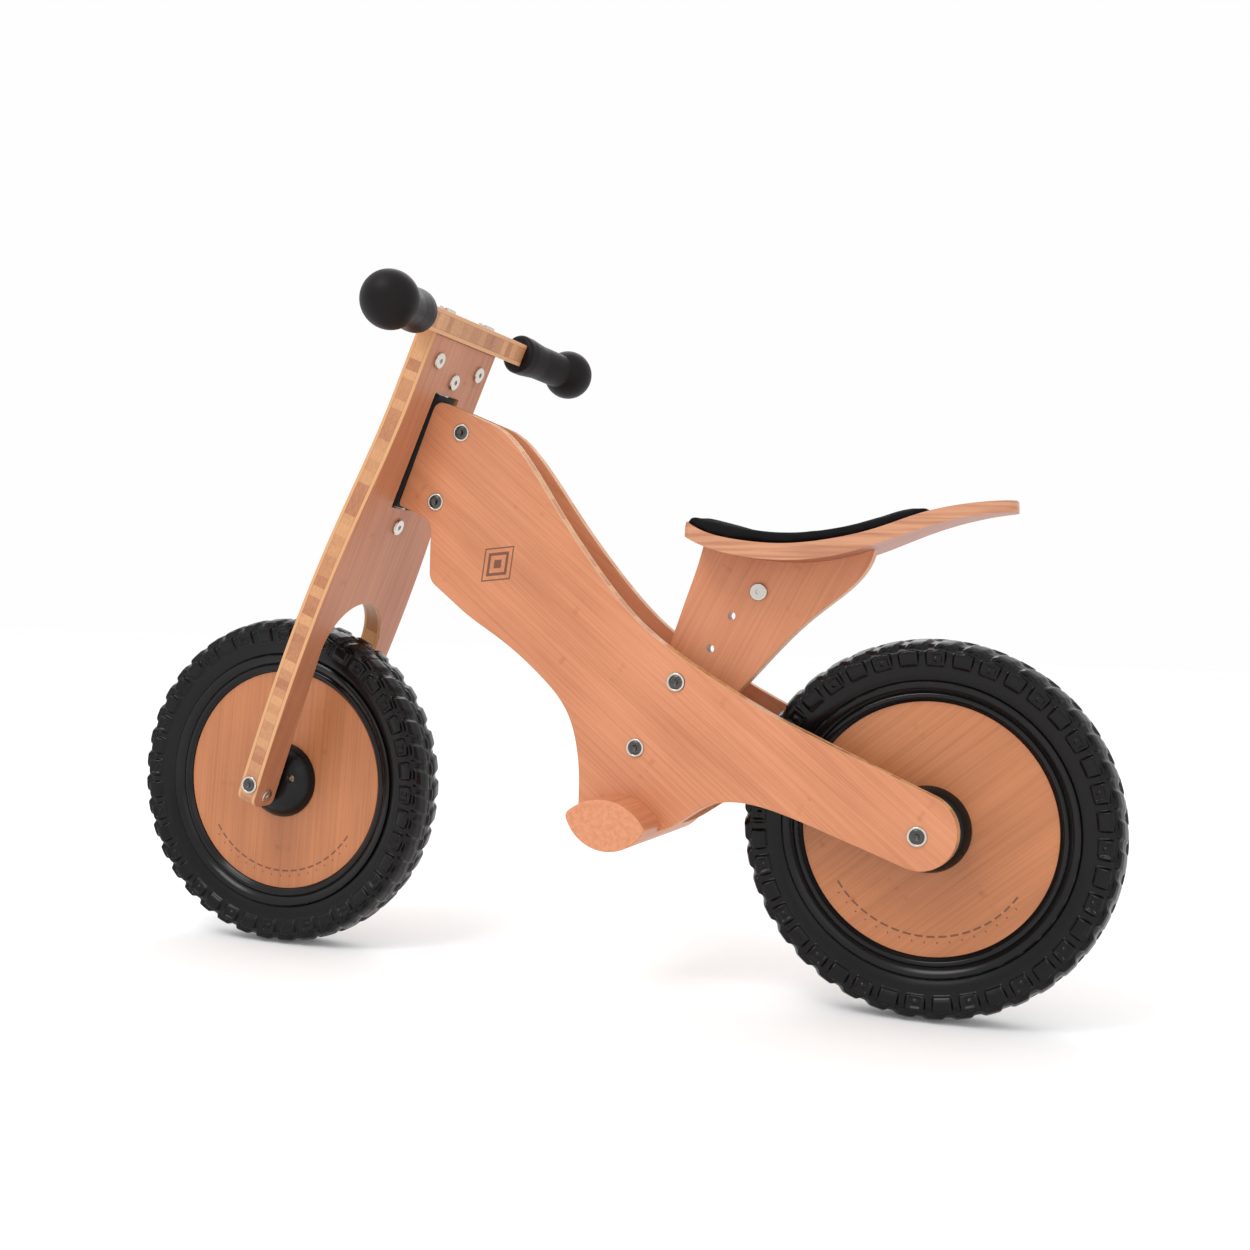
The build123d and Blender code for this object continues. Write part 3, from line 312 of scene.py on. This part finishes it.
# ---------------------------------------------------------------- wood
class Board:
    """Bamboo board: strips of fibre on its faces and plies on its edges."""

    STRIP = 0.021
    BLOCK = 0.0085

    def __init__(self, name: str, grain: Grain, palette: Palette) -> None:
        self.graph = Graph(name)
        self.palette = palette
        x, self.y, z = self.graph.place()
        self.x, self.z = x, z
        turn = grain.value
        self.along = x * math.cos(turn) + z * math.sin(turn)
        self.over = z * math.cos(turn) - x * math.sin(turn)
        self.grain = grain

    def strips(self, across: Num, along: Num, depth: Num) -> tuple[bpy.types.NodeSocket, Num]:
        """Colour and relief of a face.

        Args:
            across: metres across the fibres.
            along: metres along the fibres.
            depth: metres into the board.
        Returns:
            The face's colour, and how dark its fibres are.
        """
        graph = self.graph
        strip = (across / self.STRIP).floor()
        tint = graph.random(strip, 3.0)
        fibre = graph.noise(graph.vector(along * 9.0, across * 620.0, depth * 260.0), 1.0, 3.0)
        streak = graph.noise(graph.vector(along * 3.2, across * 74.0, depth * 60.0), 1.0, 2.0)
        cloud = graph.noise(graph.vector(along * 7.0, across * 13.0, depth * 9.0), 1.0, 3.0)
        shift = graph.random(strip, 8.0)
        knuckle = ((along / 0.24 + shift).wrap()).band(0.5, 0.002, 0.012)
        mark = knuckle * graph.noise(graph.vector(along * 60.0, across * 130.0, depth), 1.0).ramp(0.45, 0.7)
        seam = (abs((across / self.STRIP).wrap() - 0.5)).ramp(0.475, 0.5)
        dark = (
            fibre.ramp(0.30, 0.80) * 0.40
            + streak.ramp(0.34, 0.72) * 0.17
            + cloud.ramp(0.35, 0.75) * 0.30
            + tint * 0.14
            + mark * 0.34
            + seam * 0.03
        )
        return graph.mix(dark, self.palette.light, self.palette.dark), fibre

    def plies(self, depth: Num, along: Num) -> bpy.types.NodeSocket:
        """Colour of an edge: pale skins over a core of end-grain blocks.

        Args:
            depth: fraction of the thickness, 0 to 1.
            along: metres round the edge.
        Returns:
            The edge's colour.
        """
        graph = self.graph
        core = depth.ramp(0.15, 0.21) * (1.0 - depth.ramp(0.79, 0.85))
        wobble = graph.noise(graph.vector(along * 55.0, 0.0, 0.0), 1.0, 1.0) * 0.7
        block = graph.random((along / self.BLOCK + wobble).floor(), 5.0)
        pores = graph.noise(graph.vector(along * 260.0, depth * 9.0, 0.0), 1.0, 2.0).ramp(0.35, 0.7)
        line = depth.band(0.18, 0.008, 0.02) + depth.band(0.82, 0.008, 0.02)
        shade = core * (0.03 + block * 0.74 + pores * 0.18) + line * 0.40
        return graph.mix(shade, self.palette.edge, self.palette.dark)

    def finish(self, colour, fibre: Num) -> bpy.types.Material:
        """Satin lacquer over the wood."""
        rough = 0.40 + fibre * 0.12
        return self.graph.build(colour, rough, coat=0.10, height=fibre, depth=0.00012, strength=0.35)


def emblem(board: Board) -> Num:
    """Burnt ornament on the frame plates: nested diamonds."""
    turn = Grain.FRAME.value - math.radians(82.0)
    dx, dz = board.x - EMBLEM_X, board.z - EMBLEM_Z
    u = dx * math.cos(turn) + dz * math.sin(turn)
    v = dz * math.cos(turn) - dx * math.sin(turn)
    reach = abs(u) * 0.8 + abs(v)
    rings = reach.band(0.0165, 0.0006, 0.0003) + reach.band(0.0105, 0.0014, 0.0003)
    return rings + 1.0 - reach.ramp(0.0042, 0.0045)


def frame_board(name: str, grain: Grain, decorated: bool) -> bpy.types.Material:
    """Wood of the splayed frame plates.

    Args:
        name: material name.
        grain: way of the fibres.
        decorated: whether the burnt ornament is drawn.
    Returns:
        The material.
    """
    board = Board(name, grain, BAMBOO)
    graph = board.graph
    outer = PLATE_OUTER_Y - (board.x + WHEEL_BASE / 2) * SPLAY
    depth = (outer - abs(board.y)) / PLATE_THICKNESS
    face, fibre = board.strips(board.over, board.along, board.y * 0.3)
    if decorated:
        ink = emblem(board) * (1.0 - depth.ramp(0.3, 0.4))
        face = graph.mix(graph.math("MINIMUM", ink, 1.0) * 0.82, face, BURNT)
    edge_along = board.x + board.z * 0.8
    side = abs(graph.facing()[1]).ramp(0.45, 0.8)
    return board.finish(graph.mix(side, board.plies(depth, edge_along), face), fibre)


def fork_board() -> bpy.types.Material:
    """Wood of the fork board and the bar, in bamboo darkened and greyed as painted shade, with its plies on
    the side faces.
    """
    board = Board("fork_bamboo", Grain.FORK, FORK)
    graph = board.graph
    dx, dz = board.x - WHEEL_BASE / 2, board.z - AXLE_Z
    behind = -dx * math.cos(TILT) - dz * math.sin(TILT)
    height = dz * math.cos(TILT) - dx * math.sin(TILT)
    in_bar = height.ramp(BAR_FOOT, BAR_FOOT + 0.0002)
    face, fibre = board.strips(board.y, height, behind)
    bar_face, bar_fibre = board.strips(behind + 0.003, board.y, height)
    nx, ny, nz = graph.facing()
    flat = abs(nx * math.cos(TILT) + nz * math.sin(TILT)).ramp(0.45, 0.8)
    up = abs(nz * math.cos(TILT) - nx * math.sin(TILT)).ramp(0.45, 0.8)
    edge = board.plies((behind + FORK_THICKNESS / 2) / FORK_THICKNESS, height + abs(board.y))
    bar_edge = board.plies((height - BAR_FOOT) / BAR_HEIGHT, board.y)
    wood = graph.mix(flat, edge, face)
    bar = graph.mix(up, bar_edge, bar_face)
    return board.finish(graph.mix(in_bar, wood, bar), fibre * (1.0 - in_bar) + bar_fibre * in_bar)


def plain_board(name: str, grain: Grain, thickness: float) -> bpy.types.Material:
    """Wood of a board that lies in the middle plane, such as the post or the footrest."""
    board = Board(name, grain, BAMBOO)
    face, fibre = board.strips(board.over, board.along, board.y)
    edge = board.plies(board.y / thickness + 0.5, board.x + board.z)
    side = abs(board.graph.facing()[1]).ramp(0.45, 0.8)
    return board.finish(board.graph.mix(side, edge, face), fibre)


def footrest_board() -> bpy.types.Material:
    """Wood of the footrest, with fibres across the bike and end grain on its tips."""
    board = Board("footrest_bamboo", Grain.SEAT, BAMBOO)
    graph = board.graph
    body, fibre = board.strips(board.x * 0.9, board.y, board.z)
    rings = graph.noise(graph.vector(board.x * 260.0, board.z * 260.0, 0.0), 1.0, 3.0)
    shade = rings.ramp(0.35, 0.7) * 0.35 + fibre.ramp(0.3, 0.8) * 0.15
    tip = graph.mix(shade, BAMBOO.light, BAMBOO.dark)
    side = abs(graph.facing()[1]).ramp(0.45, 0.8)
    return board.finish(graph.mix(side, body, tip), fibre)


def seat_board() -> bpy.types.Material:
    """Bent seat: fibres run fore and aft, with thin veneers at its rim."""
    board = Board("seat_ply", Grain.SEAT, SEAT)
    graph = board.graph
    face, fibre = board.strips(board.y, board.x, board.z * 0.1)
    _, _, nz = graph.facing()
    up = abs(nz).ramp(0.35, 0.75)
    veneer = graph.noise(graph.vector(board.x * 14.0, board.y * 14.0, board.z * 420.0), 1.0, 2.0)
    edge = graph.mix(veneer.ramp(0.35, 0.65) * 0.55, SEAT.edge, SEAT.dark)
    return board.finish(graph.mix(up, edge, face), fibre)


def disc_wood(name: str, grain: Grain, hub_x: float) -> bpy.types.Material:
    """Wheel disc with a dashed burnt arc and small dots low on its face.

    Args:
        name: material name.
        grain: way of the fibres.
        hub_x: the wheel's centre.
    Returns:
        The material.
    """
    board = Board(name, grain, PALE)
    graph = board.graph
    dx, dz = board.x - hub_x, board.z - AXLE_Z
    radius = graph.math("SQRT", dx * dx + dz * dz)
    angle = graph.math("ARCTAN2", dx, -dz)
    face, fibre = board.strips(board.over, board.along, board.y)
    dashes = (angle * DASHES).wrap().band(0.5, 0.33, 0.03) * radius.band(DASH_R, 0.0006, 0.0003)
    dots = (angle * DASHES + 0.5).wrap().band(0.5, 0.045, 0.02) * radius.band(DOT_R, 0.0006, 0.0003)
    low = 1.0 - abs(angle).ramp(0.98, 0.99)
    ink = graph.math("MINIMUM", dashes + dots, 1.0) * low * 0.8
    return board.finish(graph.mix(ink, face, BURNT), fibre)


# ---------------------------------------------------------------- plastics and metals
def grained(
    name: str, colour, rough: float, scale: float, depth: float, gleam: float
) -> bpy.types.Material:
    """Moulded or foamed black with a fine grain.

    Args:
        name: material name.
        colour: base colour.
        rough: middle roughness.
        scale: grains in a metre.
        depth: relief in metres.
        gleam: specular level.
    Returns:
        The material.
    """
    graph = Graph(name)
    point = graph.vector(*graph.place())
    fine = graph.noise(point, scale, 3.0)
    wide = graph.noise(point, 28.0, 3.0)
    shade = graph.mix(wide * 0.5 + fine * 0.3, colour, tuple(1.8 * part for part in colour))
    rough_here = rough - 0.08 + wide * 0.16
    return graph.build(shade, rough_here, height=fine, depth=depth, strength=0.6, gleam=gleam)


def metal(name: str, colour, rough: float) -> bpy.types.Material:
    """Plated or plain metal with faint handling marks."""
    graph = Graph(name)
    wear = graph.noise(graph.vector(*graph.place()), 900.0, 3.0)
    return graph.build(graph.mix(wear * 0.3, colour, (0.25, 0.24, 0.22)), rough + wear * 0.12, metallic=1.0)


# ---------------------------------------------------------------- pieces
def add_grid(name: str, points: np.ndarray, closed_u: bool) -> bpy.types.Object:
    """Object whose surface is a grid of points.

    Args:
        name: object name.
        points: rows by columns by 3, in metres.
        closed_u: whether the last row joins the first.
    Returns:
        The linked, smooth-shaded object.
    """
    rows, cols = points.shape[:2]
    last = rows if closed_u else rows - 1
    i, j = np.meshgrid(np.arange(last), np.arange(cols - 1), indexing="ij")
    k = (i + 1) % rows
    corners = [i * cols + j, k * cols + j, k * cols + j + 1, i * cols + j + 1]
    quads = np.stack(corners, axis=-1).reshape(-1, 4)
    mesh = bpy.data.meshes.new(name)
    mesh.vertices.add(rows * cols)
    mesh.vertices.foreach_set("co", points.reshape(-1).astype(np.float32))
    mesh.loops.add(quads.size)
    mesh.loops.foreach_set("vertex_index", quads.reshape(-1).astype(np.int32))
    mesh.polygons.add(len(quads))
    mesh.polygons.foreach_set("loop_start", np.arange(0, quads.size, 4, dtype=np.int32))
    mesh.update(calc_edges=True)
    mesh.validate()
    mesh.polygons.foreach_set("use_smooth", np.ones(len(mesh.polygons), dtype=bool))
    piece = bpy.data.objects.new(name, mesh)
    bpy.context.scene.collection.objects.link(piece)
    LOG.info("%s: %d faces", name, len(mesh.polygons))
    return piece


def pulse(value: np.ndarray, low: float, high: float, soft: float) -> np.ndarray:
    """1 between low and high with soft flanks, 0 outside."""
    rise = np.clip((value - low) / soft, 0, 1)
    fall = np.clip((high - value) / soft, 0, 1)
    both = np.minimum(rise, fall)
    return both * both * (3 - 2 * both)


class Tyre:
    """Foam tyre with a blocky tread, as one closed grid about its hub."""

    LUGS = 40
    STEPS = 24
    TOP = ((12.9, 105.2), (15.2, 110.7), (17.2, 114.6), (18.2, 117.8), (18.4, 119.3), (19.3, 120.4),
           (20.6, 122.4), (22.4, 126.0), (23.4, 130.4), (22.9, 134.2), (20.6, 137.6), (16.0, 139.8),
           (9.0, 141.4), (0.0, 142.0))
    FLOOR = ((12.9, 105.2), (15.2, 110.7), (17.2, 114.6), (18.2, 117.8), (18.4, 119.3), (18.5, 120.4),
             (18.7, 122.4), (19.4, 126.0), (19.8, 129.6), (19.4, 132.2), (17.8, 135.4), (14.2, 138.0),
             (8.2, 139.8), (0.0, 140.3))

    def __init__(self, hub_x: float) -> None:
        self.hub_x = hub_x

    def mask(self, phase: np.ndarray, across: np.ndarray, side: np.ndarray) -> np.ndarray:
        """How far each point stands from groove floor to block top.

        Args:
            phase: turn counted in lugs.
            across: 0 at the crown to 1 at the tread's foot.
            side: which half of the tyre, -1 or 1.
        Returns:
            Fraction of the block height.
        """
        turn = phase + 0.25 * side
        tooth = np.abs((turn % 1.0) - 0.5) * 2
        even = (np.floor(turn) % 2) < 0.5
        shoulder = pulse(turn % 1.0, 0.05, 0.84, 0.09) * pulse(across, 0.60 + 0.04 * tooth, 0.985, 0.05)
        frame = pulse(turn % 1.0, 0.20, 0.69, 0.05) * pulse(across, 0.70, 0.93, 0.03)
        stud = pulse(turn % 1.0, 0.34, 0.55, 0.05) * pulse(across, 0.77, 0.87, 0.02)
        shoulder = shoulder - np.where(even, 0.55 * frame - 0.40 * stud, 0.0)
        middle = (turn + 0.45 + 0.5 * across) % 1.0
        crown = pulse(middle, 0.02, 0.86, 0.20) * pulse(across, 0.08, 0.55 + 0.04 * tooth, 0.05)
        bridge = 0.85 * pulse(middle, 0.10, 0.78, 0.24) * pulse(across, -1.0, 0.13, 0.05)
        return np.clip(np.maximum(np.maximum(shoulder, crown), bridge), 0, 1)

    def build(self, name: str) -> bpy.types.Object:
        """The finished tyre."""
        top, floor = np.array(self.TOP), np.array(self.FLOOR)
        run = np.concatenate([[0], np.cumsum(np.hypot(*np.diff(top, axis=0).T))])
        foot = run[5]
        fine = np.concatenate([np.linspace(0, foot, 9)[:-1], np.linspace(foot, run[-1], 40)])
        half = [np.interp(fine, run, part) for part in (*top.T, *floor.T)]
        across = np.clip((run[-1] - fine) / (run[-1] - foot), 0, 1)
        top_y, top_r, floor_y, floor_r = (
            np.concatenate([part, sign * part[-2::-1]]) for part, sign in zip(half, (-1, 1, -1, 1))
        )
        reach = np.concatenate([across, across[-2::-1]])
        side = np.concatenate([np.ones(len(fine)), -np.ones(len(fine) - 1)])
        lugs = self.LUGS
        phase = np.arange(lugs * self.STEPS) / self.STEPS
        raised = self.mask(phase[:, None], reach[None, :], side[None, :])
        y = floor_y + raised * (top_y - floor_y)
        r = floor_r + raised * (top_r - floor_r)
        angle = (phase / lugs * 2 * math.pi)[:, None]
        seat = np.full((len(phase), 1), 105.2)
        y = np.concatenate([y, y[:, :1]], axis=1)
        r = np.concatenate([r, seat], axis=1)
        points = np.stack([r * np.cos(angle), y, r * np.sin(angle)], axis=-1) / 1000
        points += np.array([self.hub_x, 0, AXLE_Z])
        return add_grid(name, points, True)


@dataclass(frozen=True)
class Lathe:
    """Round profile turned about an axis through a point, standing out along Y."""

    profile: tuple[tuple[float, float], ...]
    steps: int = 48

    def ring(self, centre: tuple[float, float, float]) -> np.ndarray:
        """Grid of the turned surface.

        Args:
            centre: point on the axis where the profile's height is 0; its Y sets the side.
        Returns:
            Points, steps by profile by 3.
        """
        out = 1.0 if centre[1] >= 0 else -1.0
        r, h = np.array(self.profile).T / 1000
        turn = np.linspace(0, 2 * math.pi, self.steps, endpoint=False)[:, None] * out
        flat = np.zeros_like(turn)
        grid = np.stack([r * np.cos(turn), out * h + flat, -r * np.sin(turn)], axis=-1)
        return grid + np.array(centre)


def join_grids(name: str, grids: list[np.ndarray]) -> bpy.types.Object:
    """Several closed grids as one object."""
    pieces = [add_grid(f"{name}_{n}", grid, True) for n, grid in enumerate(grids)]
    with bpy.context.temp_override(active_object=pieces[0], selected_editable_objects=pieces):
        bpy.ops.object.join()
    pieces[0].name = name
    return pieces[0]


class Pad:
    """Foam seat pad, puffed a little by a short cloth simulation."""

    VOXEL = 0.004
    FRAMES = 20
    REACH = 0.0011

    def __init__(self, source: bpy.types.Object) -> None:
        self.source = source

    def build(self, name: str) -> bpy.types.Object:
        """The simulated pad, ready to shade."""
        mesh = self.source.data.copy()
        mesh.name = name
        pad = bpy.data.objects.new(name, mesh)
        bpy.context.scene.collection.objects.link(pad)
        remesh = pad.modifiers.new("even", "REMESH")
        remesh.mode = "VOXEL"
        remesh.voxel_size = self.VOXEL
        self.apply(pad)
        rest = self.points(pad.data)
        puffed = self.simulate(pad)
        move = puffed - rest
        length = np.linalg.norm(move, axis=1, keepdims=True)
        rest = rest + move * np.minimum(1.0, self.REACH / np.maximum(length, 1e-9))
        pad.data.vertices.foreach_set("co", rest.reshape(-1).astype(np.float32))
        smooth = pad.modifiers.new("soften", "SMOOTH")
        smooth.factor = 0.5
        smooth.iterations = 1
        finer = pad.modifiers.new("finer", "SUBSURF")
        finer.levels = finer.render_levels = 1
        self.apply(pad)
        pad.data.polygons.foreach_set("use_smooth", np.ones(len(pad.data.polygons), dtype=bool))
        LOG.info("%s: %d faces", name, len(pad.data.polygons))
        return pad

    @staticmethod
    def points(mesh: bpy.types.Mesh) -> np.ndarray:
        """Vertex positions of a mesh."""
        found = np.empty(len(mesh.vertices) * 3, dtype=np.float32)
        mesh.vertices.foreach_get("co", found)
        return found.reshape(-1, 3).astype(float)

    @staticmethod
    def apply(pad: bpy.types.Object) -> None:
        """Turns the modifiers' result into the mesh."""
        graph = bpy.context.evaluated_depsgraph_get()
        made = bpy.data.meshes.new_from_object(pad.evaluated_get(graph))
        pad.modifiers.clear()
        pad.data = made

    def simulate(self, pad: bpy.types.Object) -> np.ndarray:
        """Where the pad's points settle under a little pressure."""
        scene = bpy.context.scene
        cloth = pad.modifiers.new("cloth", "CLOTH")
        cloth.settings.use_pressure = True
        cloth.settings.uniform_pressure_force = 4.0
        cloth.settings.effector_weights.gravity = 0.0
        cloth.point_cache.frame_start = 1
        cloth.point_cache.frame_end = self.FRAMES
        for frame in range(1, self.FRAMES + 1):
            scene.frame_set(frame)
        graph = bpy.context.evaluated_depsgraph_get()
        settled = self.points(pad.evaluated_get(graph).data)
        pad.modifiers.clear()
        scene.frame_set(1)
        return settled


# ---------------------------------------------------------------- putting it together
WASHER = Lathe(((7.25, 0.4), (7.3, 2.3), (7.0, 2.75), (5.9, 2.75), (5.6, 2.45), (5.5, 2.2)))
DOME = Lathe(((5.6, 2.2), (5.45, 2.6), (4.4, 3.1), (3.0, 3.3), (2.2, 3.2), (2.1, 2.5), (0.0, 2.45)))
FRAME_BOLTS = ((0.0, 0.0), (0.1919, 0.1020), (0.2249, 0.0492), (0.3936, 0.3009), (0.4170, 0.2435))


def bolt_places() -> list[tuple[float, float, float]]:
    """Seats of the bolts on both frame plates, in the row frame."""
    places = []
    for x, z in FRAME_BOLTS:
        y = PLATE_OUTER_Y - x * SPLAY - BOLT_SINK
        places += [(x - WHEEL_BASE / 2, side * y, z + AXLE_Z) for side in (1, -1)]
    return places


def fork_bolt_places() -> list[tuple[float, float, float]]:
    """Seats of the front axle bolts, in the row frame."""
    return [(WHEEL_BASE / 2, side * LEG_SEAT_Y, AXLE_Z) for side in (1, -1)]


class Bike:
    """The dressed bike."""

    def __init__(self, frame: dict) -> None:
        self.nodes = frame["nodes"]
        self.materials: dict[str, bpy.types.Material] = {}

    def make_materials(self) -> None:
        """Every material, by key."""
        black = (0.0040, 0.0038, 0.0040)
        self.materials = {
            "plate": frame_board("plate_bamboo", Grain.FRAME, True),
            "footrest": footrest_board(),
            "post": plain_board("post_bamboo", Grain.POST, POST_THICKNESS),
            "fork": fork_board(),
            "seat": seat_board(),
            "front_disc": disc_wood("front_disc_bamboo", Grain.FRONT_DISC, WHEEL_BASE / 2),
            "rear_disc": disc_wood("rear_disc_bamboo", Grain.REAR_DISC, -WHEEL_BASE / 2),
            "tyre": grained("tyre_foam", (0.0026, 0.0020, 0.0023), 0.25, 1500.0, 0.00004, 0.23),
            "rim": grained("rim_plastic", black, 0.20, 700.0, 0.00002, 0.26),
            "cap": grained("cap_plastic", black, 0.28, 500.0, 0.00002, 0.25),
            "grip": grained("grip_foam", (0.0068, 0.0052, 0.0054), 0.46, 2300.0, 0.00012, 0.13),
            "pad": grained("pad_foam", (0.0055, 0.0050, 0.0055), 0.85, 1900.0, 0.0002, 0.10),
            "block": grained("block_plastic", black, 0.55, 900.0, 0.00005, 0.2),
            "nickel": metal("nickel", (0.66, 0.62, 0.57), 0.20),
            "dark_steel": metal("dark_steel", (0.060, 0.058, 0.056), 0.24),
            "steel": metal("steel", (0.50, 0.50, 0.50), 0.35),
        }

    def key_of(self, node: str) -> str:
        """Material key of a CAD node."""
        exact = {
            "left_frame_plate": "plate", "right_frame_plate": "plate", "footrest_bar": "footrest",
            "seat_post": "post", "fork_board": "fork", "handlebar": "fork", "seat_board": "seat",
            "seat_pad": "pad", "head_block": "block", "front_axle": "steel", "rear_axle": "steel",
            "pivot_washers": "steel",
        }
        if node in exact:
            return exact[node]
        if node.endswith("_disc"):
            return f"{node.split('_')[0]}_disc"
        for ending, key in (
            ("_tyre", "tyre"), ("_rim", "rim"), ("_cap", "cap"), ("_grip", "grip"),
            ("_spacers", "block"), ("_bearings", "steel"),
        ):
            if node.endswith(ending):
                return key
        return "nickel"

    def dress(self) -> None:
        """Gives each CAD node its material."""
        for node, piece in self.nodes.items():
            piece.data.materials.clear()
            piece.data.materials.append(self.materials[self.key_of(node)])
            LOG.info("%s: %s", node, self.key_of(node))

    def add(self, piece: bpy.types.Object, key: str, slot: str, body: str, *stands_for: str) -> None:
        """Shades a new piece and fixes it to a body.

        Args:
            piece: the new object.
            key: its material.
            slot: the record's slot; not used.
            body: the body it rides on.
            stands_for: CAD nodes it replaces.
        """
        piece.data.materials.clear()
        piece.data.materials.append(self.materials[key])
        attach(piece, body)
        if stands_for:
            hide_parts(*stands_for)

    def add_pieces(self) -> None:
        """The pieces that the CAD holds only plainly."""
        for name, hub_x in (("front", WHEEL_BASE / 2), ("rear", -WHEEL_BASE / 2)):
            tyre = Tyre(hub_x).build(f"{name}_treaded_tyre")
            self.add(tyre, "tyre", "tyre", f"{name}_wheel", f"{name}_tyre")
        pad = Pad(self.nodes["seat_pad"]).build("seat_foam")
        self.add(pad, "pad", "foam", "frame", "seat_pad")
        for name, body, places in (
            ("frame", "frame", bolt_places()),
            ("fork", "fork", fork_bolt_places()),
        ):
            rings = join_grids(f"{name}_bolt_rings", [WASHER.ring(place) for place in places])
            domes = join_grids(f"{name}_bolt_domes", [DOME.ring(place) for place in places])
            self.add(rings, "nickel", "bolts", body)
            self.add(domes, "dark_steel", "bolts", body)


def add_light(name: str, at: tuple, aim: tuple, size: float, power: float) -> None:
    """Soft square lamp.

    Args:
        name: lamp name.
        at: where it hangs.
        aim: what it points at.
        size: side in metres.
        power: watts.
    """
    lamp = bpy.data.lights.new(name, "AREA")
    lamp.size = size
    lamp.energy = power
    holder = bpy.data.objects.new(name, lamp)
    bpy.context.scene.collection.objects.link(holder)
    way = np.array(aim, dtype=float) - np.array(at, dtype=float)
    back = -way / np.linalg.norm(way)
    right = np.cross((0, 0, 1), back)
    right /= np.linalg.norm(right)
    up = np.cross(back, right)
    holder.matrix_world = matrix(right, up, back, at)


def matrix(right, up, back, at) -> Matrix:
    """World matrix from three axes and a place."""
    rows = [[right[i], up[i], back[i], at[i]] for i in range(3)]
    return Matrix(rows + [[0, 0, 0, 1]])


def set_studio() -> None:
    """White floor, soft lamps and the camera."""
    scene = bpy.context.scene
    scene.view_settings.view_transform = "Standard"
    graph = Graph("floor_white")
    white = graph.build((0.93, 0.93, 0.93), 0.9, glow=0.07)
    grid = np.array([[(x, y, 0.0) for y in (-14.0, 14.0)] for x in (-14.0, 14.0)])
    floor = add_grid("floor", grid, False)
    floor.data.materials.append(white)
    world = bpy.data.worlds.new("studio")
    scene.world = world
    world.use_nodes = True
    backdrop = world.node_tree.nodes["Background"]
    backdrop.inputs[0].default_value = (1.0, 1.0, 1.0, 1.0)
    backdrop.inputs[1].default_value = 0.99
    add_light("key", (0.5, 1.7, 2.4), (0.1, 0, 0.3), 1.1, 25.0)
    add_light("fill", (-1.6, 1.5, 1.2), (0, 0, 0.25), 1.4, 3.0)
    add_light("rim", (0.6, -1.8, 1.9), (0, 0, 0.25), 1.5, 12.0)
    lens = bpy.data.cameras.new("camera")
    lens.lens = 42.716
    lens.sensor_width = 36.0
    lens.clip_start = 0.05
    camera = bpy.data.objects.new("camera", lens)
    scene.collection.objects.link(camera)
    right = (-0.93385, -0.35642, 0.02976)
    down = (-0.02833, -0.00922, -0.99956)
    ahead = (0.35653, -0.93428, -0.00149)
    place = (-0.1789 - WHEEL_BASE / 2, 1.1226, 0.28875)
    camera.matrix_world = matrix(right, [-v for v in down], [-v for v in ahead], place)
    scene.camera = camera


def main() -> None:
    """Loads the frame, dresses the bike and sets up the studio."""
    logging.basicConfig(level=logging.INFO)
    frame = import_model()
    bike = Bike(frame)
    bike.make_materials()
    bike.dress()
    bike.add_pieces()
    set_studio()


if __name__ == "__main__":
    main()
